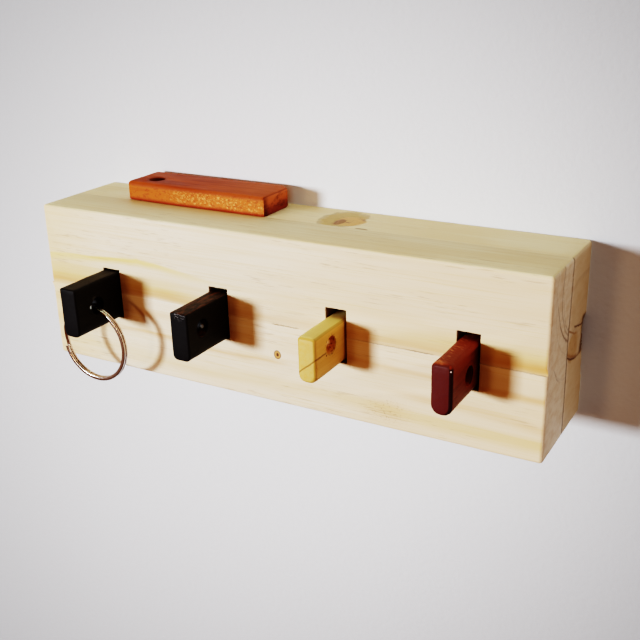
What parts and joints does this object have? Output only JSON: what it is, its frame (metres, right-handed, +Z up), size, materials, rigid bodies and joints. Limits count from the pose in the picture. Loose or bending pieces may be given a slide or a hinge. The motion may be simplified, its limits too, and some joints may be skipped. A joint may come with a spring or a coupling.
{
  "type": "wall key holder",
  "caption": "Wall key holder: a glued pine block with a row of slots that take flat hardwood key fobs, one of them carrying a split ring.",
  "frame": {"origin": "middle of the back face, which lies on the wall", "axes": "+X along the block to the right as seen from the room, +Y into the wall, +Z up"},
  "size_m": [0.166, 0.0532, 0.0575],
  "materials": {
    "pine": "planed and sanded bare pine",
    "black_wood": "hardwood stained black, satin",
    "pale_wood": "oiled yellow hardwood",
    "red_wood": "oiled red hardwood",
    "orange_wood": "oiled orange-brown hardwood",
    "ring_steel": "nickel-plated steel wire"
  },
  "bodies": {
    "holder": {"back_board": "pine", "upper_front_strip": "pine", "lower_front_strip": "pine", "black_fob_left": "black_wood", "black_fob_right": "black_wood", "pale_fob": "pale_wood", "red_fob": "red_wood", "loose_fob": "orange_wood"},
    "ring": {"split_ring": "ring_steel"}
  },
  "joints": [
    {"name": "ring_swing", "type": "hinge", "parent": "holder", "child": "ring", "pos_m": [-0.05685, -0.0442, -0.00159], "axis": [-1, 0, 0], "range_deg": [-23, 203]}
  ]
}
